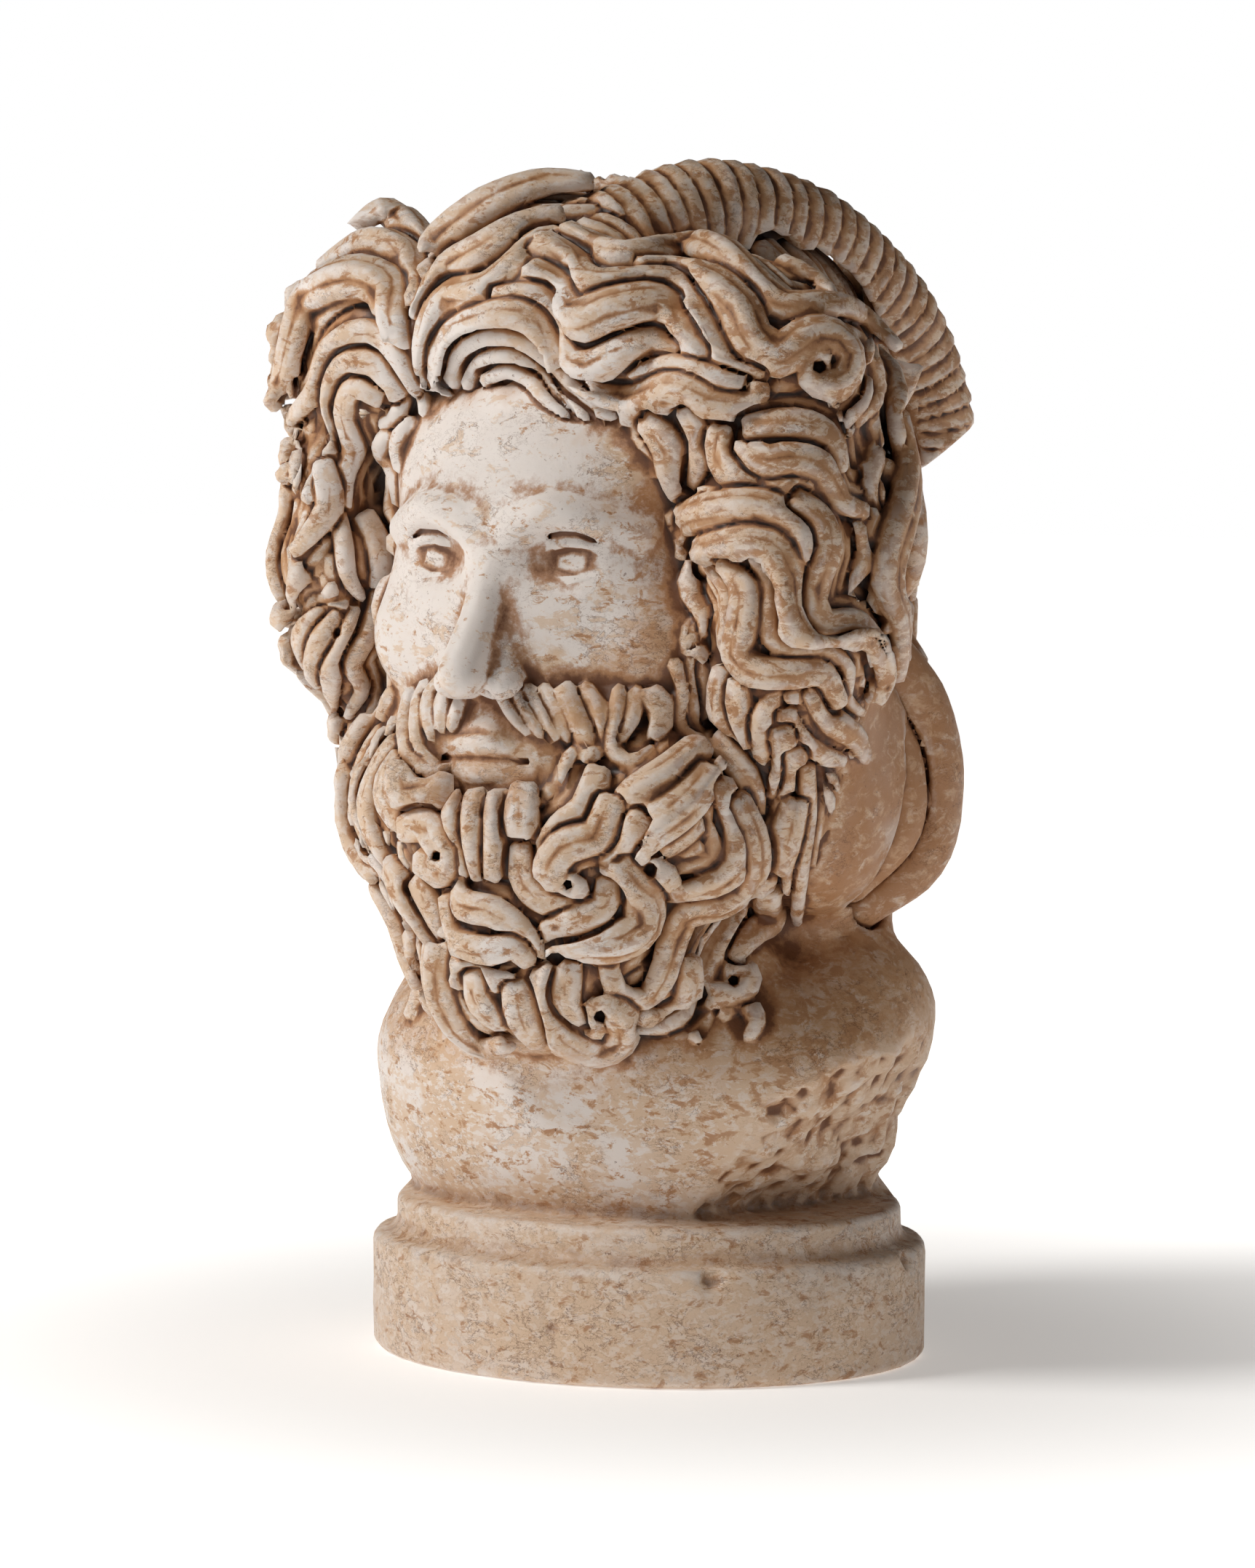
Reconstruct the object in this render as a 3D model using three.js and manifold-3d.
// Marble bust of a bearded, ram-horned god, carved in one block with its oval stepped plinth.
// The underside of the plinth is centred on the origin, +Z is up, the face looks along -Y
// and the statue's left is +X. Lengths are in mm, angles in degrees.
import * as THREE from "three";
import Module from "manifold-3d";

const wasm = await Module();
wasm.setup();

// Driving dimensions

const PLINTH = { halfWidth: 121, halfDepth: 104, drum: 49, step: 64.5, stepShare: 0.915, arris: 4 };
const CHEST = { halfWidth: 122, halfDepth: 76, height: 124 };
const NECK = { halfWidth: 76, foot: 120, top: 260 };
const HEAD = { halfWidth: 92, halfDepth: 104, centre: 350, crown: 466, chin: 210 };
const FACE = { brow: 354, eyes: 338, nose: 282, mouth: 258, eyeSpacing: 64, noseTip: 152, half: 80 };
const HORN = { radius: 23.5, ring: 7.8, ringDepth: 3.4, end: 217, sides: 10 };
const PILLAR = { x: 60, y: 54, half: 23 };

// The hair on the statue's left, which is fuller, and on its right
const HAIR = {
  left: { side: 1, half: 42, high: 98, middle: 338, temple: [409, 54] },
  right: { side: -1, half: 26, high: 88, middle: 352, temple: [418, 45] },
};

// The carving is laid out on an upright plane through the bust, seen from its front left:
// u runs to the right and v up from the underside, and both are cast from the eye to the forms.
const VIEW = { turn: 32, rise: 4.5, distance: 2600, height: 238.5, side: -8.5 };

// Fineness of the carved block: spacing of its points, and the triangles it is reduced to.
const SPACING = 2.8;
const TRIANGLES = 5400;
const BLOCK = { lo: [-168, -172, 30], hi: [168, 146, 512] };
const UNDERCUT = 34; // the carved block starts this high, inside the plinth

const rad = (a) => (a * Math.PI) / 180;
const mix = (a, b, t) => a + (b - a) * t;
const add3 = (a, b, s = 1) => [a[0] + b[0] * s, a[1] + b[1] * s, a[2] + b[2] * s];
const flip = (p) => [-p[0], p[1], p[2]];
const SIDES = [-1, 1];

// Forms: each has its distance at a point and the box round it

function turned(turn, tilt, roll) {
  const order = new THREE.Matrix4().makeRotationZ(rad(turn));
  order.multiply(new THREE.Matrix4().makeRotationX(rad(tilt)));
  return order.multiply(new THREE.Matrix4().makeRotationY(rad(roll))).elements;
}

function ellipsoid(c, r, { turn = 0, tilt = 0, roll = 0 } = {}) {
  const m = turned(turn, tilt, roll);
  const half = [0, 1, 2].map((i) => Math.hypot(m[i] * r[0], m[i + 4] * r[1], m[i + 8] * r[2]));
  const at = (x, y, z) => {
    const p = x - c[0], q = y - c[1], s = z - c[2];
    const a = (m[0] * p + m[1] * q + m[2] * s) / r[0];
    const b = (m[4] * p + m[5] * q + m[6] * s) / r[1];
    const d = (m[8] * p + m[9] * q + m[10] * s) / r[2];
    const k = Math.hypot(a, b, d);
    return (k * (k - 1)) / Math.max(Math.hypot(a / r[0], b / r[1], d / r[2]), 1e-6);
  };
  return { at, lo: c.map((v, i) => v - half[i]), hi: c.map((v, i) => v + half[i]) };
}

const ball = (c, r) => capsule(c, c, r);

function capsule(a, b, ra, rb = ra) {
  const ab = [b[0] - a[0], b[1] - a[1], b[2] - a[2]];
  const long = Math.max(ab[0] ** 2 + ab[1] ** 2 + ab[2] ** 2, 1e-6);
  const r = Math.max(ra, rb);
  const at = (x, y, z) => {
    const p = x - a[0], q = y - a[1], s = z - a[2];
    const t = Math.min(Math.max((p * ab[0] + q * ab[1] + s * ab[2]) / long, 0), 1);
    return Math.hypot(p - t * ab[0], q - t * ab[1], s - t * ab[2]) - mix(ra, rb, t);
  };
  return {
    at,
    lo: a.map((v, i) => Math.min(v, b[i]) - r),
    hi: a.map((v, i) => Math.max(v, b[i]) + r),
  };
}

function halfSpace(point, normal, lo, hi) {
  const n = new THREE.Vector3(...normal).normalize().toArray();
  const at = (x, y, z) => -((x - point[0]) * n[0] + (y - point[1]) * n[1] + (z - point[2]) * n[2]);
  return { at, lo, hi };
}

const chain = (points, radii) =>
  points.slice(1).map((p, i) => capsule(points[i], p, radii[i], radii[i + 1]));

function blend(a, b, k) {
  if (k <= 0) return Math.min(a, b);
  const h = Math.max(k - Math.abs(a - b), 0) / k;
  return Math.min(a, b) - h * h * k * 0.25;
}

// The main masses, which the carving lies on

const MASSES = [
  [ellipsoid([2, -10, CHEST.height], [CHEST.halfWidth, CHEST.halfDepth, 58]), 0],
  [ellipsoid([-6, 4, 96], [CHEST.halfWidth - 7, 80, 64]), 16],
  [capsule([0, 5, NECK.foot], [0, -5, NECK.top], NECK.halfWidth, NECK.halfWidth - 4), 12],
  [ellipsoid([0, -8, HEAD.centre], [HEAD.halfWidth, HEAD.halfDepth, HEAD.crown - HEAD.centre]), 0],
  [ellipsoid([0, 20, 318], [92, 86, 138]), 20],
  [ellipsoid([0, 6, 424], [72, 84, 50]), 12],
  ...Object.values(HAIR).flatMap(({ side: s, half, high, middle, temple: [height, wide] }) => [
    [ellipsoid([s * 98, -46, middle], [half, 50, high], { turn: s * 14 }), 18],
    [ellipsoid([s * 76, -52, height], [wide, 46, 50], { roll: s * 20 }), 14],
    [capsule([0, -80, 436], [s * 42, -80, 430], 22, 24), 12],
    [ellipsoid([s * 90, -10, 252], [34, 60, 62], { turn: s * 4 }), 14],
    [ellipsoid([s * 93, 18, 143], [27, 42, 35]), 18],
    [ellipsoid([s * 50, -84, 304], [27, 24, 27]), 14],
    [ellipsoid([s * 70, 24, 186], [28, 36, 30]), 14],
  ]),
  [ellipsoid([0, -56, 446], [52, 36, 34]), 12],
  [ellipsoid([0, -48, 322], [FACE.half, 76, 112]), 10],
  [ellipsoid([0, -76, 372], [66, 36, 34]), 14],
  [ellipsoid([0, -64, 236], [94, 66, 62]), 14],
  [ellipsoid([0, -70, 196], [64, 56, 68]), 12],
  [ellipsoid([0, -112, FACE.mouth + 4], [32, 16, 17]), 10],
  [ellipsoid([0, -104, HEAD.chin + 16], [30, 24, 20]), 12],
];

function massAt(x, y, z) {
  let d = 1e3;
  for (const [form, k] of MASSES) d = blend(d, form.at(x, y, z), k);
  return d;
}

function normalAt(p, e = 1.5) {
  const n = [0, 1, 2].map((i) => {
    const a = [...p], b = [...p];
    a[i] += e;
    b[i] -= e;
    return massAt(...a) - massAt(...b);
  });
  const long = Math.hypot(...n);
  return n.map((v) => v / long);
}

// Casting a point of the layout plane to the masses

const turn = rad(VIEW.turn), rise = rad(VIEW.rise);
const RIGHT = [Math.cos(turn), Math.sin(turn), 0];
const BACK = [Math.sin(turn) * Math.cos(rise), -Math.cos(turn) * Math.cos(rise), Math.sin(rise)];
const UP = new THREE.Vector3(...BACK).cross(new THREE.Vector3(...RIGHT)).toArray();
const EYE = add3(add3([0, 0, VIEW.height], RIGHT, VIEW.side), BACK, VIEW.distance);

function cast(u, v, reach = 230) {
  const target = add3(add3([0, 0, VIEW.height], RIGHT, u), UP, v - VIEW.height);
  const ray = new THREE.Vector3(...add3(target, EYE, -1)).normalize().toArray();
  let t = VIEW.distance - reach, best = 1e3, found = t;
  for (let i = 0; i < 160 && t < VIEW.distance + reach; i++) {
    const d = massAt(...add3(EYE, ray, t));
    if (d < best) [best, found] = [d, t];
    if (d < 0.05) break;
    t += Math.max(d * 0.9, 0.4);
  }
  return add3(EYE, ray, found);
}

// Routes of the locks

function smooth(points, spacing) {
  const curve = new THREE.CatmullRomCurve3(points.map((p) => new THREE.Vector3(p[0], p[1], p[2] ?? 0)));
  const n = Math.max(3, Math.round(curve.getLength() / spacing));
  return curve.getSpacedPoints(n).map((p) => p.toArray());
}

// A spiral on the layout plane that goes on from the last step of a route.
function curled(route, [side, radius, turns]) {
  const [a, b] = route.slice(-2);
  const way = Math.atan2(b[1] - a[1], b[0] - a[0]) + side * Math.PI * 0.5;
  const centre = [b[0] + Math.cos(way) * radius, b[1] + Math.sin(way) * radius];
  const steps = Math.ceil(turns * 12);
  const out = [...route];
  for (let i = 1; i <= steps; i++) {
    const t = i / steps, r = radius * (1 - 0.74 * t);
    const angle = way + Math.PI + side * t * turns * 2 * Math.PI;
    out.push([centre[0] + Math.cos(angle) * r, centre[1] + Math.sin(angle) * r]);
  }
  return out;
}

// Full width in the middle of a lock, narrower at its root and finer at its tip.
const taper = (t) => (0.62 + 0.38 * Math.sin(Math.PI * (0.12 + 0.76 * t))) * (1 - 0.35 * t * t);

const LIFT = 0.7; // height of a lock's middle over the mass, as a share of its half width

// The solid has the main locks alone, each as wide as it is with the strands beside it.
const FINEST = 3.6;
const FULLER = 1.3;

function laidLock([half, strands, curl, route]) {
  const wide = half * FULLER;
  const plane = smooth(curl ? curled(route, curl) : route, Math.max(wide * 0.9, 3));
  const points = plane.map(([u, v]) => {
    const p = cast(u, v);
    return add3(p, normalAt(p), wide * LIFT);
  });
  return { points, wide, strands };
}

// The strands of a lock lie side by side across it.
function strandsOf({ points, wide, strands }) {
  const last = points.length - 1;
  const normals = points.map((p) => normalAt(p));
  return Array.from({ length: strands }, (_, i) => {
    const across = strands > 1 ? i / (strands - 1) - 0.5 : 0;
    const share = strands > 1 ? 1.25 / strands : 1;
    const path = points.map((p, j) => {
      const a = new THREE.Vector3(...points[Math.max(j - 1, 0)]);
      const b = new THREE.Vector3(...points[Math.min(j + 1, last)]);
      const over = b.sub(a).cross(new THREE.Vector3(...normals[j])).normalize().toArray();
      return add3(p, over, across * 2 * (1 - share * 0.75) * wide * taper(j / last));
    });
    return chain(path, points.map((_, j) => wide * share * taper(j / last)));
  }).flat();
}

// Hair and beard: half width, strands, curl as side, radius and turns, and the route in u, v

const CROWN = [
  [8, 1, 0, [[-92, 440], [-84, 459], [-66, 475], [-44, 484], [-26, 485]]],
  [7, 1, 0, [[-90, 434], [-80, 450], [-64, 460], [-48, 470], [-36, 474]]],
  [5.5, 1, 0, [[-90, 410], [-89, 428], [-80, 441], [-65, 445], [-54, 455], [-44, 465], [-34, 466]]],
  [6, 1, 0, [[-34, 466], [-12, 456], [12, 459], [30, 458], [44, 445], [57, 436], [80, 436], [99, 421]]],
  [6.5, 1, [-1, 12, 1.1], [[-2, 450], [12, 449], [26, 446], [37, 437], [43, 424], [54, 417], [66, 424]]],
  [6, 1, 0, [[-44, 462], [-32, 454], [-22, 445], [-8, 445], [8, 445], [20, 435], [32, 414], [46, 408]]],
  [6.5, 1, 0, [[-48, 450], [-36, 443], [-26, 433], [-14, 437], [2, 439], [14, 430], [24, 417]]],
  [6, 1, 0, [[-60, 440], [-46, 440], [-36, 428], [-24, 416], [-10, 421], [2, 425], [14, 418]]],
  [6, 1, 0, [[-84, 408], [-82, 422], [-70, 431], [-52, 434], [-38, 422], [-24, 406], [-8, 403],
      [12, 412], [40, 406]]],
  [6, 1, 0, [[-34, 402], [-18, 396], [0, 399], [16, 405], [30, 399], [44, 399], [47, 406]]],
  [3.6, 1, 0, [[-80, 408], [-76, 420], [-62, 426], [-46, 422], [-36, 408], [-24, 396], [-14, 392]]],
  [3, 1, 0, [[-74, 406], [-68, 417], [-56, 420], [-47, 413], [-40, 402], [-26, 392]]],
  [2.6, 1, 0, [[-67, 408], [-58, 413], [-50, 409], [-43, 400], [-34, 393]]],
];

const FAR_TEMPLE = [
  [6, 1, 0, [[-92, 448], [-98, 464], [-108, 474], [-122, 466], [-129, 464]]],
  [5.5, 1, 0, [[-97, 440], [-101, 456], [-114, 463], [-128, 457], [-134, 453]]],
  [7, 1, 0, [[-101, 424], [-106, 442], [-120, 449], [-137, 441], [-144, 425], [-148, 408], [-152, 400]]],
  [4.5, 1, 0, [[-98, 406], [-104, 422], [-118, 428], [-130, 420], [-136, 406], [-146, 392]]],
  [4, 1, 0, [[-104, 404], [-113, 416], [-124, 415], [-130, 402], [-128, 384], [-136, 372], [-142, 358]]],
  [3.6, 1, 0, [[-112, 402], [-121, 406], [-125, 396], [-123, 382], [-128, 368], [-128, 352]]],
  [4, 1, [1, 8, 1.0], [[-120, 350], [-114, 336], [-113, 322], [-120, 311], [-131, 310]]],
  [3.4, 1, 0, [[-130, 350], [-128, 338], [-126, 326], [-121, 318]]],
  [4, 1, 0, [[-136, 372], [-134, 356], [-140, 344], [-146, 336]]],
  [3.6, 1, 0, [[-136, 310], [-143, 300], [-142, 290]]],
  [3.6, 1, 0, [[-130, 308], [-136, 298], [-138, 286], [-132, 278]]],
  [3.6, 1, 0, [[-122, 310], [-126, 298], [-132, 286], [-129, 272]]],
  [3.4, 1, 0, [[-115, 318], [-118, 302], [-124, 290], [-120, 280], [-124, 268]]],
];

const NEAR_SIDE = [
  [5, 1, 0, [[4, 391], [11, 382], [12, 372], [17, 362], [27, 357], [40, 359]]],
  [3.6, 1, 0, [[18, 396], [24, 386], [24, 375], [21, 365]]],
  [4.6, 1, 0, [[32, 388], [34, 376], [40, 367], [50, 364], [61, 367], [69, 363], [75, 354]]],
  [4.5, 1, 0, [[43, 381], [50, 374], [60, 375], [70, 372], [75, 364], [79, 356], [88, 353]]],
  [4.2, 1, 0, [[44, 388], [58, 389], [69, 387], [76, 380], [79, 371]]],
  [6, 1, 0, [[17, 349], [32, 352], [48, 353], [61, 346], [64, 336], [60, 326]]],
  [6.5, 1, 0, [[28, 336], [42, 340], [53, 337], [57, 324], [57, 311], [64, 301], [78, 301], [90, 302],
      [95, 288], [92, 276]]],
  [4, 1, 0, [[62, 357], [71, 349], [74, 338], [70, 326], [68, 315], [73, 307], [86, 307], [96, 297]]],
  [3.2, 1, 0, [[46, 334], [51, 325], [51, 312], [52, 301], [60, 294], [74, 295], [83, 288], [82, 276],
      [88, 269]]],
  [5, 1, 0, [[35, 329], [42, 320], [42, 308], [40, 297], [46, 288], [60, 286], [72, 286], [78, 275]]],
  [3, 1, 0, [[28, 330], [35, 320], [36, 308], [34, 298], [40, 287]]],
];

const SIDE_BEARD = [
  [4, 1, 0, [[34, 286], [33, 272], [38, 262], [46, 249]]],
  [4, 1, 0, [[41, 284], [41, 272], [44, 261], [48, 250]]],
  [3.6, 1, 0, [[56, 278], [50, 268], [49, 258], [48, 250]]],
  [4, 1, 0, [[61, 278], [67, 266], [77, 257], [86, 252]]],
  [4, 1, 0, [[68, 279], [74, 268], [84, 260], [89, 250]]],
  [3.6, 1, 0, [[58, 270], [60, 262], [68, 254], [80, 249]]],
  [4, 1, 0, [[56, 262], [58, 248], [54, 236], [44, 224], [39, 218]]],
  [3.6, 1, 0, [[61, 254], [62, 242], [57, 230], [48, 219]]],
  [5, 1, 0, [[24, 255], [27, 245], [36, 237], [43, 226]]],
  [4, 1, 0, [[31, 257], [38, 247], [43, 237], [45, 227]]],
  [3.4, 1, 0, [[66, 246], [66, 228], [64, 208], [63, 182]]],
  [4.6, 1, 0, [[61, 232], [57, 218], [55, 206], [57, 196]]],
];

const BEARD = [
  [5, 2, 0, [[-80, 232], [-80, 216], [-76, 202]]],
  [4.6, 1, 0, [[-70, 232], [-70, 216], [-69, 201]]],
  [5, 1, 0, [[-60, 232], [-61, 216], [-64, 201]]],
  [5.5, 1, 0, [[20, 252], [8, 241], [-6, 233], [-13, 224]]],
  [6.5, 2, [1, 11.5, 0.9], [[23, 240], [12, 228], [-4, 217], [-9, 208]]],
  [4.4, 1, 0, [[-2, 224], [-11, 215], [-13, 204], [-4, 197]]],
  [5, 1, 0, [[28, 236], [35, 222], [35, 208], [26, 200], [6, 195]]],
  [5, 1, 0, [[35, 230], [41, 216], [40, 201], [29, 192], [14, 188], [8, 176], [5, 162], [-3, 151],
      [-14, 152], [-18, 166]]],
  [5.5, 1, [1, 7, 0.9], [[47, 202], [43, 188], [30, 174], [20, 160], [24, 149], [36, 149]]],
  [4.4, 1, 0, [[52, 196], [50, 184], [42, 172], [36, 164]]],
  [5, 1, 0, [[-50, 236], [-51, 222], [-46, 210], [-40, 204]]],
  [4.6, 1, 0, [[-20, 242], [-25, 228], [-36, 219], [-44, 208]]],
  [5, 1, [1, 9, 0.9], [[-14, 230], [-20, 218], [-34, 212], [-41, 201]]],
  [4, 1, 0, [[-52, 212], [-50, 198], [-42, 190], [-28, 187]]],
  [6.5, 1, [1, 6, 0.7], [[-13, 206], [-5, 195], [-5, 182], [-14, 175], [-28, 174], [-40, 171]]],
  [4, 1, 0, [[-18, 198], [-19, 188], [-30, 182], [-42, 178], [-46, 172]]],
  [6, 1, [1, 11, 1.0], [[-40, 162], [-41, 148], [-37, 137], [-25, 131]]],
  [4, 1, 0, [[-32, 162], [-33, 150], [-28, 141]]],
  [4.6, 1, 0, [[-78, 200], [-74, 188], [-63, 185], [-53, 178], [-46, 168]]],
  [5, 1, 0, [[-82, 192], [-78, 176], [-68, 171], [-56, 172], [-50, 166]]],
  [5, 1, 0, [[-84, 182], [-80, 164], [-68, 158], [-56, 157]]],
  [4.4, 2, 0, [[-76, 158], [-75, 144], [-68, 133], [-60, 131]]],
  [4.4, 1, 0, [[-66, 156], [-64, 144], [-60, 134]]],
  [5, 1, 0, [[-54, 150], [-50, 140], [-46, 133]]],
  [5, 1, 0, [[14, 164], [12, 150], [4, 143], [-5, 144]]],
  [3, 1, 0, [[18, 150], [14, 140], [4, 136], [-7, 137]]],
  [4, 1, 0, [[-100, 258], [-108, 246], [-114, 230], [-110, 214], [-102, 202]]],
  [4, 1, 0, [[-102, 248], [-107, 236], [-102, 224], [-92, 219]]],
  [6.5, 1, 0, [[-100, 244], [-98, 234], [-88, 234], [-83, 242]]],
  [5, 1, [-1, 8, 0.8], [[-98, 220], [-90, 221], [-83, 214]]],
  [5, 1, 0, [[-103, 204], [-98, 194], [-92, 184], [-88, 174]]],
  [4, 1, 0, [[-94, 198], [-88, 188], [-84, 176]]],
];

const MOUSTACHE = [
  [2.6, 1, 0, [[-76, 277], [-79, 269], [-82, 261]]],
  [2.8, 1, 0, [[-82, 280], [-85, 271], [-86, 261]]],
  [2.8, 1, 0, [[-87, 281], [-91, 270], [-90, 258]]],
  [2.8, 1, 0, [[-92, 280], [-95, 268], [-95, 254], [-89, 247]]],
  [3, 1, 0, [[-98, 276], [-100, 262], [-98, 250], [-90, 243], [-84, 246]]],
  [2.6, 1, 0, [[-61, 277], [-56, 268], [-50, 260]]],
  [2.6, 1, 0, [[-55, 278], [-50, 269], [-45, 259]]],
  [2.6, 1, 0, [[-49, 278], [-44, 269], [-39, 258]]],
  [2.6, 1, 0, [[-43, 278], [-38, 268], [-34, 257]]],
  [3.6, 1, 0, [[-35, 278], [-29, 267], [-24, 255]]],
  [3.2, 1, 0, [[-25, 278], [-19, 267], [-17, 255]]],
  [3, 1, 0, [[-12, 277], [-13, 264], [-14, 252], [-6, 247], [1, 252]]],
  [3, 1, 0, [[-5, 277], [-7, 266], [-11, 257]]],
  [4, 1, 0, [[2, 278], [5, 268], [2, 257]]],
  [3, 1, 0, [[11, 289], [15, 278], [13, 264], [19, 256], [27, 260]]],
  [2.8, 1, 0, [[17, 290], [20, 278], [18, 265], [22, 259]]],
  [2.8, 1, 0, [[23, 289], [25, 278], [23, 267]]],
];

// The bands that coil forward under the ear: half width, and the route in x, y and z
const EAR_CURL = [
  [19, [[100, 12, 292], [108, 30, 270], [111, 38, 240], [107, 36, 212], [92, 18, 193]]],
  [15, [[100, 6, 272], [109, 14, 248], [109, 14, 224], [97, 2, 203]]],
  [12, [[100, -12, 258], [107, -8, 238], [102, -12, 214], [90, -16, 202]]],
];

// Outlines in u and v: the jagged edge behind the near hair, and the slab behind the far hair
const FLANGE = [
  [84, 426], [97, 422], [101, 415], [107, 411], [114, 412], [110, 400], [102, 388], [100, 378],
  [103, 366], [99, 352], [103, 340], [99, 328], [101, 318], [92, 308], [82, 330], [80, 380],
];
const SLAB = [
  [-116, 350], [-140, 349], [-147, 338], [-153, 326], [-152, 308], [-149, 298], [-141, 290],
  [-134, 284], [-122, 272], [-114, 290],
];

// The left shoulder is broken off along a few planes: a point on each, and the way out of the stone.
const SHOULDER = [
  { at: [116, 18, 124], out: [0.837, -0.026, -0.547] },
  { at: [112, -30, 112], out: [0.72, -0.42, -0.55] },
  { at: [118, 34, 140], out: [0.93, 0.3, -0.2] },
  { at: [98, -8, 92], out: [0.66, -0.2, -0.72] },
];

// Rows of long locks that fall down the back and the sides, and a few that run back over the crown.
const NAPE = { wide: 8.5, swing: 5, step: 14.5, rows: [[456, 366, 92], [392, 292, 76], [314, 206, 112]] };
const CREST = { wide: 8, swing: 4, from: -44, to: 84, columns: [-34, -17, 0, 17, 34] };

// The first point of the masses on a straight way from a place outside them.
function met(from, way) {
  let t = 0;
  for (let i = 0; i < 90 && t < 260; i++) {
    const d = massAt(...add3(from, way, t));
    if (d < 0.05) break;
    t += d * 0.9;
  }
  return add3(from, way, t);
}

function lockOver(steps, wide, place) {
  const points = Array.from({ length: steps + 1 }, (_, i) => place(i / steps));
  return { points: points.map((p) => add3(p, normalAt(p), wide * LIFT)), wide, strands: 1 };
}

function napeRow([top, foot, from], row) {
  const columns = Math.round((360 - 2 * from) / NAPE.step);
  return Array.from({ length: columns + 1 }, (_, column) => {
    const middle = mix(from, 360 - from, column / columns);
    return lockOver(8, NAPE.wide, (t) => {
      const angle = rad(middle + NAPE.swing * Math.sin(t * 2 * Math.PI + column + row));
      const way = [-Math.sin(angle), Math.cos(angle), 0];
      return met(add3([0, 5, mix(top, foot, t)], way, -210), way);
    });
  });
}

function crestLocks() {
  return CREST.columns.map((x, i) =>
    lockOver(8, CREST.wide, (t) => {
      const swing = CREST.swing * Math.sin(t * 2.5 * Math.PI + i);
      return met([x * mix(0.4, 1.2, t) + swing, mix(CREST.from, CREST.to, t), 540], [0, 0, -1]);
    }),
  );
}

// The block of stone: distances at evenly spaced points, negative inside

const FAR = 40;

class Stone {
  constructor({ lo, hi }, spacing) {
    this.spacing = spacing;
    this.lo = lo;
    this.n = lo.map((v, i) => Math.ceil((hi[i] - v) / spacing) + 1);
    this.f = new Float32Array(this.n[0] * this.n[1] * this.n[2]).fill(FAR);
    this.scratch = new Float32Array(this.f.length);
  }

  index(i, j, k) {
    return (i * this.n[1] + j) * this.n[2] + k;
  }

  place(i, axis) {
    return this.lo[axis] + i * this.spacing;
  }

  // Visits each point of the box round a form, with the form's distance there.
  each(form, margin, visit) {
    const a = form.lo.map((v, i) => Math.max(0, Math.floor((v - margin - this.lo[i]) / this.spacing)));
    const b = form.hi.map((v, i) =>
      Math.min(this.n[i] - 1, Math.ceil((v + margin - this.lo[i]) / this.spacing)),
    );
    for (let i = a[0]; i <= b[0]; i++)
      for (let j = a[1]; j <= b[1]; j++)
        for (let k = a[2]; k <= b[2]; k++)
          visit(this.index(i, j, k), form.at(this.place(i, 0), this.place(j, 1), this.place(k, 2)));
  }

  // The nearest distance to any of the forms, over the box round them all.
  nearest(forms, margin, visit) {
    const lo = [0, 1, 2].map((i) => Math.min(...forms.map((form) => form.lo[i])));
    const hi = [0, 1, 2].map((i) => Math.max(...forms.map((form) => form.hi[i])));
    const near = this.scratch;
    const box = { lo, hi, at: () => FAR };
    this.each(box, margin, (q) => (near[q] = FAR));
    for (const form of forms)
      this.each(form, margin, (q, d) => {
        if (d < near[q]) near[q] = d;
      });
    this.each(box, margin, (q) => near[q] < FAR && visit(q, near[q]));
  }

  join(forms, k) {
    this.nearest(forms, k + 2 * this.spacing, (q, d) => (this.f[q] = blend(this.f[q], d, k)));
  }

  cut(forms, k) {
    this.nearest(forms, k + 2 * this.spacing, (q, d) => (this.f[q] = -blend(-this.f[q], d, k)));
  }

  // Rounds off what is finer than the spacing of the points.
  soften() {
    const { f, n, scratch } = this;
    const stride = [n[1] * n[2], n[2], 1];
    scratch.set(f);
    for (let q = stride[0]; q < f.length - stride[0]; q++) {
      if (Math.abs(scratch[q]) > 2 * this.spacing) continue;
      const round = stride.reduce((sum, o) => sum + scratch[q - o] + scratch[q + o], 0);
      f[q] = scratch[q] * 0.5 + round / 12;
    }
  }

  pointAt(q) {
    const k = q % this.n[2], j = Math.floor(q / this.n[2]) % this.n[1];
    return [Math.floor(q / (this.n[1] * this.n[2])), j, k].map((v, i) => this.place(v, i));
  }
}

// Carving

function carveMasses(stone) {
  for (const [form, k] of MASSES) stone.join([form], k);
}

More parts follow.
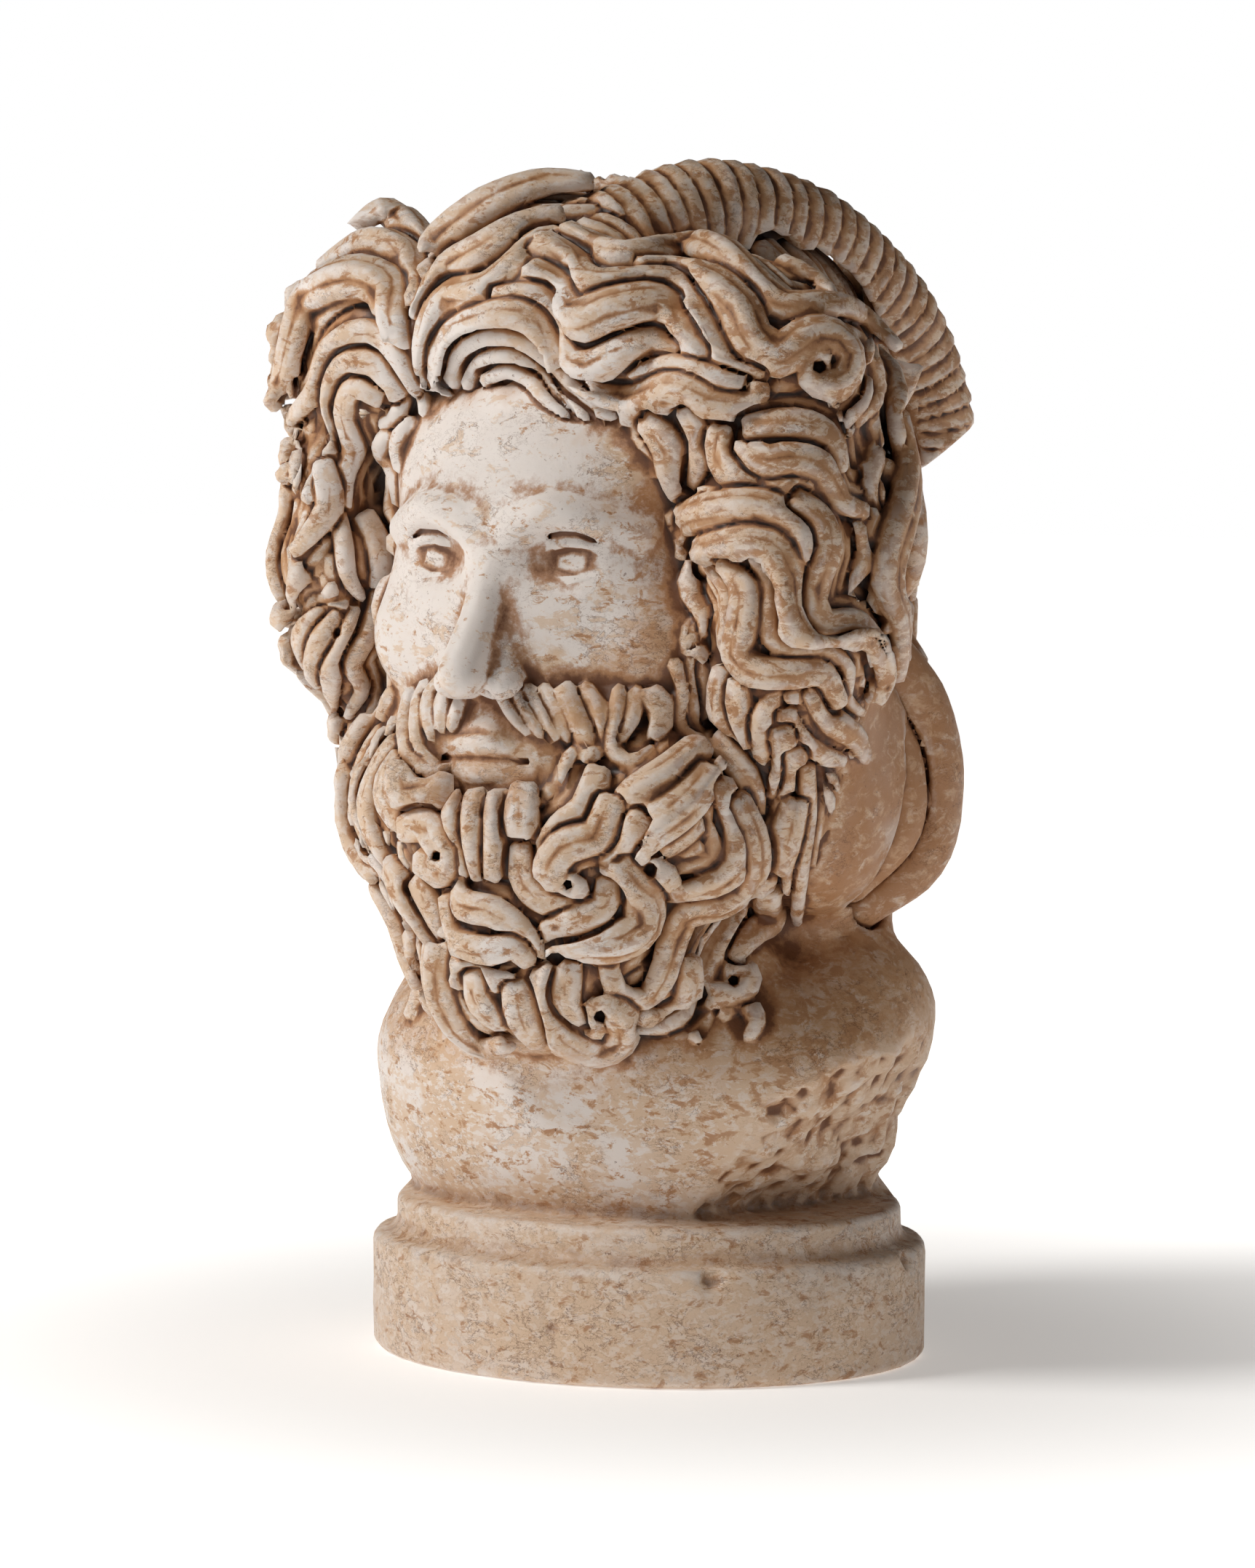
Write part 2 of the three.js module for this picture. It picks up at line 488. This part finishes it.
function carveFace(stone) {
  const { brow, eyes, nose, mouth } = FACE;
  const x = FACE.eyeSpacing / 2;
  const both = (make) => SIDES.forEach((s) => make(s, (p) => [s * p[0], p[1], p[2]]));
  both((s) => stone.cut([ellipsoid([s * 33, -126, eyes - 1], [20, 17, 13.5])], 6));
  both((s, at) => {
    const ridge = [[9, -119, brow - 3], [30, -117, brow + 3], [58, -98, brow - 6]];
    stone.join(chain(ridge.map(at), [6, 7, 5]), 7);
  });
  both((s, at) => {
    const middle = at([x, -99.5, eyes - 1]);
    stone.join([ball(middle, 13.2)], 1.5);
    const lids = ball(middle, 16.6);
    const slit = ellipsoid(add3(middle, [0, -12, 0]), [13.6, 20, 5.2], { roll: -s * 4 });
    stone.join([{ ...lids, at: (...p) => Math.max(lids.at(...p), -slit.at(...p)) }], 0.8);
  });
  const tip = [0, -FACE.noseTip + 10, nose + 10];
  const ridge = [[0, -110, brow + 4], [0, -115, eyes + 4], [0, -129, nose + 30], tip];
  stone.join(chain(ridge, [8.5, 7, 8, 9.5]), 5);
  both((s) => stone.join([capsule([s * 5, -118, nose + 26], [s * 8, -127, nose + 8], 8, 9)], 5));
  both((s) => stone.join([ellipsoid([s * 12.5, -128, nose + 6], [7.5, 10, 7])], 2.5));
  both((s) => stone.cut([capsule([s * 7, -138, nose - 2], [s * 8, -130, nose + 5], 3, 2)], 1.5));
  const row = (count, place) => Array.from({ length: count }, (_, i) => place((2 * i) / (count - 1) - 1));
  const lip = (z, y, r, half, back) => {
    const path = row(9, (t) => [half * t, y + back * t * t, z - 2 * t * t]);
    stone.join(chain(path, row(9, (t) => r * (0.35 + 0.65 * Math.cos((t * Math.PI) / 2)))), 1.5);
  };
  lip(mouth + 5, -128.5, 5, 25, 12);
  lip(mouth - 6, -127.5, 6.4, 21, 9);
  const line = row(9, (t) => [27 * t, -133.5 + 15 * t * t, mouth - 0.5 - 1.5 * t * t]);
  stone.cut(chain(line, line.map(() => 2.2)), 1);
}

function carveEarCurl(stone, side) {
  for (const [half, route] of EAR_CURL) {
    const path = smooth(route.map((p) => [side * p[0], p[1], p[2]]), 6);
    const radii = path.map((_, i) => half * (1 - 0.35 * (i / (path.length - 1)) ** 2));
    stone.cut(chain(path, radii.map((r) => r + 2)), 1);
    stone.join(chain(path, radii), 1.5);
  }
}

// The points drawn onto the masses, then lifted.
function landed(point, height) {
  for (let i = 0; i < 3; i++) point = add3(point, normalAt(point), -(massAt(...point) - height) * 0.9);
  return point;
}

// The side that the layout doesn't see repeats the locks of the near side.
function hiddenSide(locks) {
  return locks.flatMap(({ points, wide, strands }) => {
    const runs = [[]];
    for (const p of points.map(flip)) {
      if (p[0] < 10 && dot(normalAt(p), BACK) < 0.12) runs.at(-1).push(landed(p, wide * LIFT));
      else if (runs.at(-1).length) runs.push([]);
    }
    return runs.filter((run) => run.length > 2).map((run) => ({ points: run, wide, strands }));
  });
}

function carveLocks(stone) {
  const main = [CROWN, FAR_TEMPLE, SIDE_BEARD, NEAR_SIDE, BEARD].flat().filter(([half]) => half >= FINEST);
  const seen = [...main, ...MOUSTACHE.filter((_, i) => i % 2 === 0)].map(laidLock);
  const rear = [...crestLocks(), ...NAPE.rows.flatMap(napeRow)];
  for (const lock of [...rear, ...hiddenSide(seen), ...seen]) stone.join(strandsOf(lock), 0.5);
  stone.soften();
}

// An upright slab behind an outline in u and v, with the depths of its middle and half its thickness.
function outlined(outline, middle, half) {
  const edges = outline.map((p, i) => [p, outline[(i + 1) % outline.length]]);
  const at = (x, y, z) => {
    const p = [x, y, z - VIEW.height];
    const u = dot(p, RIGHT), v = dot(p, UP) + VIEW.height;
    let far = 1e6, inside = false;
    for (const [a, b] of edges) {
      const wu = b[0] - a[0], wv = b[1] - a[1];
      const t = Math.min(Math.max(((u - a[0]) * wu + (v - a[1]) * wv) / (wu * wu + wv * wv), 0), 1);
      far = Math.min(far, Math.hypot(u - a[0] - t * wu, v - a[1] - t * wv));
      if (a[1] > v !== b[1] > v && u < a[0] + ((v - a[1]) * wu) / wv) inside = !inside;
    }
    return Math.max(inside ? -far : far, Math.abs(dot(p, BACK) - middle) - half);
  };
  const corners = outline.flatMap(([u, v]) =>
    [-half, half].map((d) => {
      const p = add3(add3([0, 0, VIEW.height], RIGHT, u), UP, v - VIEW.height);
      return add3(p, BACK, middle + d);
    }),
  );
  const bound = (pick) => [0, 1, 2].map((i) => pick(...corners.map((p) => p[i])));
  return { at, lo: bound(Math.min), hi: bound(Math.max) };
}

function carveShoulder(stone) {
  for (const { at, out } of SHOULDER) stone.cut([halfSpace(at, out, [20, -110, 40], [165, 90, 172])], 0.8);
}

function carvePillar(stone) {
  const { x, y, half } = PILLAR;
  for (const s of SIDES) {
    stone.join([capsule([s * x, y, 44], [s * (x - 12), y - 4, 120], half, half - 4)], 8);
    stone.join([capsule([s * x, y, 40], [s * x, y, 52], half + 9, half)], 8);
  }
  stone.join([capsule([0, y + 8, 44], [0, y, 120], 36, 32)], 8);
}

// The carved block ends inside the plinth.
function carveFoot(stone) {
  stone.cut([halfSpace([0, 0, UNDERCUT], [0, 0, -1], [-170, -170, 20], [170, 150, UNDERCUT + 8])], 0);
}

// The surface of the stone: one point in each cell that it passes through

const CELL = [0, 1, 2, 3, 4, 5, 6, 7].map((c) => [c & 1, (c >> 1) & 1, c >> 2]);

// Whether the corners of a cell that are in the set all meet along its edges.
function meets(set) {
  const corners = CELL.map((_, c) => c).filter((c) => set & (1 << c));
  let reached = corners.slice(0, 1);
  for (let step = 0; step < 8; step++)
    reached = corners.filter((c) => reached.some((r) => [0, 1, 2, 4].includes(r ^ c)));
  return reached.length === corners.length;
}

const PLAIN = Array.from({ length: 256 }, (_, set) => meets(set) && meets(255 - set));

// The points of one sign that can be reached from a start point.
function reached(stone, start, negative) {
  const { n, f } = stone;
  const seen = new Uint8Array(f.length), open = [start];
  const stride = [n[1] * n[2], n[2], 1];
  seen[start] = 1;
  while (open.length) {
    const q = open.pop();
    const place = [Math.floor(q / stride[0]), Math.floor(q / stride[1]) % n[1], q % n[2]];
    for (let axis = 0; axis < 3; axis++)
      for (const way of [-1, 1]) {
        const to = place[axis] + way;
        const next = q + way * stride[axis];
        if (to < 0 || to >= n[axis] || seen[next] || f[next] < 0 !== negative) continue;
        seen[next] = 1;
        open.push(next);
      }
  }
  return seen;
}

// Leaves one solid body: closed hollows are filled and loose crumbs go.
function whole(stone) {
  const { f } = stone;
  const open = reached(stone, 0, false);
  for (let q = 0; q < f.length; q++) if (f[q] >= 0 && !open[q]) f[q] = -0.15;
  const middle = [0, 0, HEAD.centre].map((v, i) => Math.round((v - stone.lo[i]) / stone.spacing));
  const body = reached(stone, stone.index(...middle), true);
  for (let q = 0; q < f.length; q++) if (f[q] < 0 && !body[q]) f[q] = 0.15;
}

// Fills the cells that the surface would pass through twice, so that it never touches itself.
function settle(stone, offsets) {
  const { n, f } = stone;
  for (let changed = true; changed; ) {
    changed = false;
    for (let i = 0; i < n[0] - 1; i++)
      for (let j = 0; j < n[1] - 1; j++)
        for (let k = 0; k < n[2] - 1; k++) {
          const base = stone.index(i, j, k);
          let set = 0;
          for (let c = 0; c < 8; c++) if (f[base + offsets[c]] < 0) set |= 1 << c;
          if (PLAIN[set]) continue;
          for (const o of offsets) f[base + o] = Math.min(f[base + o], -0.15);
          changed = true;
        }
  }
}

function surfaceOf(stone) {
  const { n, f, spacing } = stone;
  const stride = [n[1] * n[2], n[2], 1];
  const offsets = CELL.map((c) => dot(c, stride));
  whole(stone);
  settle(stone, offsets);
  whole(stone);
  settle(stone, offsets);
  const points = [], faces = [], inCell = new Map();
  const middleOf = (base) => {
    const sum = [0, 0, 0];
    let count = 0;
    CELL.forEach((corner, c) => {
      for (let axis = 0; axis < 3; axis++) {
        if (corner[axis]) continue;
        const p = f[base + offsets[c]], q = f[base + offsets[c] + stride[axis]];
        if (p < 0 === q < 0) continue;
        corner.forEach((v, i) => (sum[i] += v + (i === axis ? p / (p - q) : 0)));
        count++;
      }
    });
    return stone.pointAt(base).map((v, i) => v + (sum[i] / count) * spacing);
  };
  const pointIn = (base) => {
    if (!inCell.has(base)) inCell.set(base, points.push(middleOf(base)) - 1);
    return inCell.get(base);
  };
  for (let i = 1; i < n[0] - 1; i++)
    for (let j = 1; j < n[1] - 1; j++)
      for (let k = 1; k < n[2] - 1; k++) {
        const base = stone.index(i, j, k);
        for (let axis = 0; axis < 3; axis++) {
          const inside = f[base] < 0;
          if (inside === f[base + stride[axis]] < 0) continue;
          const across = stride[(axis + 1) % 3], along = stride[(axis + 2) % 3];
          const ring = [base - across - along, base - along, base, base - across].map(pointIn);
          const [a, b, c, d] = inside ? ring : ring.reverse();
          const short = length(sub(points[a], points[c])) < length(sub(points[b], points[d]));
          if (short) faces.push([a, b, c], [a, c, d]);
          else faces.push([a, b, d], [b, c, d]);
        }
      }
  return { points, faces };
}

const length = (a) => Math.hypot(a[0], a[1], a[2]);
const sub = (a, b) => [a[0] - b[0], a[1] - b[1], a[2] - b[2]];
const dot = (a, b) => a[0] * b[0] + a[1] * b[1] + a[2] * b[2];
const cross = (a, b) => [a[1] * b[2] - a[2] * b[1], a[2] * b[0] - a[0] * b[2], a[0] * b[1] - a[1] * b[0]];
const centre = (list) => [0, 1, 2].map((i) => list.reduce((s, p) => s + p[i], 0) / list.length);

// Fewer, larger facets: edges fold up where the surface changes least

class Queue {
  items = [];

  push(item) {
    const { items } = this;
    let i = items.push(item) - 1;
    while (i > 0) {
      const up = (i - 1) >> 1;
      if (items[up].cost <= items[i].cost) break;
      [items[up], items[i]] = [items[i], items[up]];
      i = up;
    }
  }

  pop() {
    const { items } = this;
    const top = items[0], last = items.pop();
    if (items.length) {
      items[0] = last;
      for (let i = 0; ; ) {
        const l = 2 * i + 1, r = l + 1;
        let least = i;
        if (l < items.length && items[l].cost < items[least].cost) least = l;
        if (r < items.length && items[r].cost < items[least].cost) least = r;
        if (least === i) break;
        [items[least], items[i]] = [items[i], items[least]];
        i = least;
      }
    }
    return top;
  }
}

// Squared distance to a set of planes, as the ten terms of x, y, z and 1.
function planeTerms([a, b, c], d, w) {
  return [a * a, a * b, a * c, a * d, b * b, b * c, b * d, c * c, c * d, d * d].map((v) => v * w);
}

function spread(q, [x, y, z]) {
  const xs = q[0] * x * x + 2 * q[1] * x * y + 2 * q[2] * x * z + 2 * q[3] * x;
  return xs + q[4] * y * y + 2 * q[5] * y * z + 2 * q[6] * y + q[7] * z * z + 2 * q[8] * z + q[9];
}

function flattest(q, a, b) {
  const middle = centre([a, b]);
  const det = dot([q[0], q[1], q[2]], cross([q[1], q[4], q[5]], [q[2], q[5], q[7]]));
  const options = [middle, a, b];
  if (Math.abs(det) > 1e-4) {
    const rhs = [-q[3], -q[6], -q[8]];
    const m0 = [q[0], q[1], q[2]], m1 = [q[1], q[4], q[5]], m2 = [q[2], q[5], q[7]];
    const p = [dot(rhs, cross(m1, m2)), dot(m0, cross(rhs, m2)), dot(m0, cross(m1, rhs))].map((v) => v / det);
    if (Math.hypot(...sub(p, middle)) < 2 * Math.hypot(...sub(a, b))) options.unshift(p);
  }
  return options.map((p) => [spread(q, p), p]).sort((s, t) => s[0] - t[0])[0];
}

// Twice a triangle's area over its longest edge squared.
function thinness(corners, normal) {
  const long = [0, 1, 2].map((e) => Math.hypot(...sub(corners[e], corners[(e + 1) % 3])));
  return Math.hypot(...normal) / Math.max(...long) ** 2;
}

function thinned({ points, faces }, target, care) {
  const terms = points.map(() => new Array(10).fill(0));
  const around = points.map(() => []);
  const stamp = new Int32Array(points.length), gone = new Uint8Array(points.length);
  faces.forEach((face, id) => {
    const [a, b, c] = face.map((i) => points[i]);
    const n = cross(sub(b, a), sub(c, a)), area = Math.hypot(...n) || 1e-9;
    const unit = n.map((v) => v / area);
    const plane = planeTerms(unit, -dot(unit, a), area * care(a));
    for (const i of face) {
      around[i].push(id);
      for (let t = 0; t < 10; t++) terms[i][t] += plane[t];
    }
  });
  const queue = new Queue();
  const offer = (a, b) => {
    const q = terms[a].map((v, t) => v + terms[b][t]);
    const [error, place] = flattest(q, points[a], points[b]);
    const long = Math.hypot(...sub(points[a], points[b]));
    queue.push({ cost: error + 1e-3 * long * long, a, b, place, age: stamp[a] + stamp[b] });
  };
  const neighbours = (i) => {
    const set = new Set();
    for (const id of around[i]) for (const j of faces[id]) if (j !== i) set.add(j);
    return set;
  };
  const folds = (i, other, place) =>
    around[i].some((id) => {
      const face = faces[id];
      if (face.includes(other)) return false;
      const before = face.map((j) => points[j]), after = face.map((j) => (j === i ? place : points[j]));
      const m = cross(sub(before[1], before[0]), sub(before[2], before[0]));
      const n = cross(sub(after[1], after[0]), sub(after[2], after[0]));
      const was = thinness(before, m), is = thinness(after, n);
      if (is < 0.06 && is < was) return true;
      return was > 0.1 && dot(m, n) < 0.2 * Math.hypot(...m) * Math.hypot(...n);
    });
  let left = faces.length;
  const round = () => {
    points.forEach((_, i) => gone[i] || neighbours(i).forEach((j) => i < j && offer(i, j)));
    while (left > target && queue.items.length) {
      const { a, b, place, age } = queue.pop();
      if (gone[a] || gone[b] || age !== stamp[a] + stamp[b]) continue;
      const na = neighbours(a), shared = [...neighbours(b)].filter((j) => na.has(j));
      if (shared.length !== 2 || folds(a, b, place) || folds(b, a, place)) continue;
      for (const id of around[b]) {
        if (faces[id].includes(a)) {
          for (const j of faces[id]) if (j !== b) around[j] = around[j].filter((f) => f !== id);
          faces[id] = null;
          left--;
        } else {
          faces[id] = faces[id].map((j) => (j === b ? a : j));
          around[a].push(id);
        }
      }
      gone[b] = 1;
      points[a] = place;
      for (let t = 0; t < 10; t++) terms[a][t] += terms[b][t];
      stamp[a]++;
      neighbours(a).forEach((j) => offer(a, j));
    }
    queue.items.length = 0;
  };
  for (let before = Infinity; left > target && left < before; ) {
    before = left;
    round();
  }
  const kept = new Map();
  const used = (i) => kept.get(i) ?? kept.set(i, kept.size).get(i);
  const triangles = faces.filter((f) => f).map((f) => f.map(used));
  return { points: [...kept.keys()].map((i) => points[i]), faces: triangles };
}

// The plinth: an oval drum with a lower, narrower step on it

function plinthBody(segments = 48) {
  const { drum, step, arris } = PLINTH;
  const inset = PLINTH.halfWidth * (1 - PLINTH.stepShare);
  const profile = [
    [1.5, 0], [0, 1.5], [0, drum - arris], [arris, drum], [inset, drum], [inset, step - 3], [inset + 3, step],
  ];
  const points = profile.flatMap(([inward, z]) =>
    Array.from({ length: segments }, (_, i) => {
      const angle = (i / segments) * 2 * Math.PI;
      const x = (PLINTH.halfWidth - inward) * Math.cos(angle);
      return [x, (PLINTH.halfDepth - inward) * Math.sin(angle), z];
    }),
  );
  const foot = points.push([0, 0, 0]) - 1, top = points.push([0, 0, step]) - 1;
  const faces = [];
  for (let i = 0; i < segments; i++) {
    const j = (i + 1) % segments, last = (profile.length - 1) * segments;
    faces.push([foot, j, i], [top, last + i, last + j]);
    for (let r = 0; r < profile.length - 1; r++) {
      const a = r * segments, b = a + segments;
      faces.push([a + i, a + j, b + j], [a + i, b + j, b + i]);
    }
  }
  return { points, faces };
}

function solid({ points, faces }) {
  return new wasm.Manifold(
    new wasm.Mesh({
      numProp: 3,
      vertProperties: new Float32Array(points.flat()),
      triVerts: new Uint32Array(faces.flat()),
    }),
  );
}

// The horns: ringed tubes that sweep back over the hair and end in a slanted break

const HORN_ROUTE = [
  [10, -64, 460], [36, -22, 476], [55, 17, 470.5], [66, 46, 454.5], [73, 75, 430],
  [77, 93, 396], [78, 96, 360],
];
const FAR_HORN = { lower: 9, plain: 110 }; // how much lower it lies, and its length without rings

const hornRoute = (side) => HORN_ROUTE.map(([x, y, z]) => [side * x, y, side < 0 ? z - FAR_HORN.lower : z]);

// The stone that each horn lies in, short of its end.
function carveHornBed(stone, side) {
  const path = smooth(hornRoute(side).slice(0, -1), 8);
  stone.join(chain(path, path.map(() => HORN.radius - HORN.ringDepth - 1)), 5);
}

function hornBody(side) {
  const far = side < 0;
  const curve = new THREE.CatmullRomCurve3(hornRoute(side).map((p) => new THREE.Vector3(...p)));
  const steps = 2 * Math.round(curve.getLength() / HORN.ring);
  const { normals, binormals } = curve.computeFrenetFrames(steps);
  const points = [], faces = [], { sides } = HORN;
  let stations = 0;
  for (let i = 0; i <= steps; i++) {
    const p = curve.getPointAt(i / steps).toArray();
    const plain = far && (i / steps) * curve.getLength() < FAR_HORN.plain;
    if (plain && i % 4) continue;
    const root = Math.min(0.45 + 0.15 * stations, 1); // the horn grows out of the hair over a few rings
    const radius = root * (HORN.radius - (i % 2 || plain ? 0 : HORN.ringDepth));
    stations++;
    for (let j = 0; j < sides; j++) {
      const angle = (2 * Math.PI * j) / sides;
      const across = add3(p, normals[i].toArray(), Math.cos(angle) * radius);
      points.push(add3(across, binormals[i].toArray(), Math.sin(angle) * radius));
    }
  }
  const ends = [0, 1].map((t) => points.push(curve.getPointAt(t).toArray()) - 1);
  for (let j = 0; j < sides; j++) {
    const k = (j + 1) % sides, last = (stations - 1) * sides;
    faces.push([ends[0], k, j], [ends[1], last + j, last + k]);
    for (let i = 0; i < last; i += sides) faces.push([i + j, i + k, i + sides + k],
        [i + j, i + sides + k, i + sides + j]);
  }
  return solid({ points, faces }).subtract(belowHorn(side));
}

// A block under the slanted plane that the horn ends on.
function belowHorn(side) {
  const height = (x, y) => (0.62 * (0.848 * x + 0.53 * y) + HORN.end) / 0.78;
  const corners = [[40, 50], [130, 50], [130, 150], [40, 150]];
  const points = [0, 1].flatMap((top) => corners.map(([x, y]) => [side * x, y, top ? height(x, y) : 200]));
  const faces = [[0, 2, 1], [0, 3, 2], [4, 5, 6], [4, 6, 7]];
  for (let i = 0; i < 4; i++) faces.push([i, (i + 1) % 4, 4 + ((i + 1) % 4)], [i, 4 + ((i + 1) % 4), 4 + i]);
  return solid({ points, faces: side > 0 ? faces : faces.map((f) => f.reverse()) });
}

function bustBody() {
  const stone = new Stone(BLOCK, SPACING);
  carveMasses(stone);
  carveFace(stone);
  SIDES.forEach((side) => carveHornBed(stone, side));
  carveLocks(stone);
  SIDES.forEach((side) => carveEarCurl(stone, side));
  carveShoulder(stone);
  carvePillar(stone);
  stone.join([outlined(FLANGE, 44, 7), outlined(SLAB, -30, 12)], 4);
  carveFoot(stone);
  // The front is kept finer than the back, and the face finest of all.
  const care = ([x, y, z]) => {
    if (y > 20) return 0.25;
    const features = y < -85 && Math.abs(x) < 56 && z > 248 && z < 366;
    return features ? 8 : 1;
  };
  return solid(thinned(surfaceOf(stone), TRIANGLES, care));
}

// The triangles of the outer skin: closed pockets between the horns and the hair are filled.
function outerSkin(triangles, count) {
  const label = Array.from({ length: count }, (_, i) => i);
  const root = (i) => {
    while (label[i] !== i) i = label[i] = label[label[i]];
    return i;
  };
  for (let t = 0; t < triangles.length; t += 3)
    for (const e of [1, 2]) label[root(triangles[t + e])] = root(triangles[t]);
  const size = new Uint32Array(count);
  for (const i of triangles) size[root(i)]++;
  const outer = size.indexOf(Math.max(...size));
  return triangles.filter((i) => root(i) === outer);
}

function build() {
  const horns = SIDES.map(hornBody);
  const mesh = bustBody().add(horns[0]).add(horns[1]).add(solid(plinthBody())).getMesh();
  const skin = outerSkin(mesh.triVerts, mesh.vertProperties.length / 3);
  const geometry = new THREE.BufferGeometry();
  geometry.setAttribute("position", new THREE.BufferAttribute(mesh.vertProperties, 3));
  geometry.setIndex(new THREE.BufferAttribute(skin, 1));
  geometry.computeVertexNormals();
  const marble = new THREE.MeshStandardMaterial({ color: 0xe2d6c6, roughness: 0.6, flatShading: true });
  const bust = new THREE.Mesh(geometry, marble);
  bust.name = "bust";
  const group = new THREE.Group();
  group.add(bust);
  return group;
}

export default build();
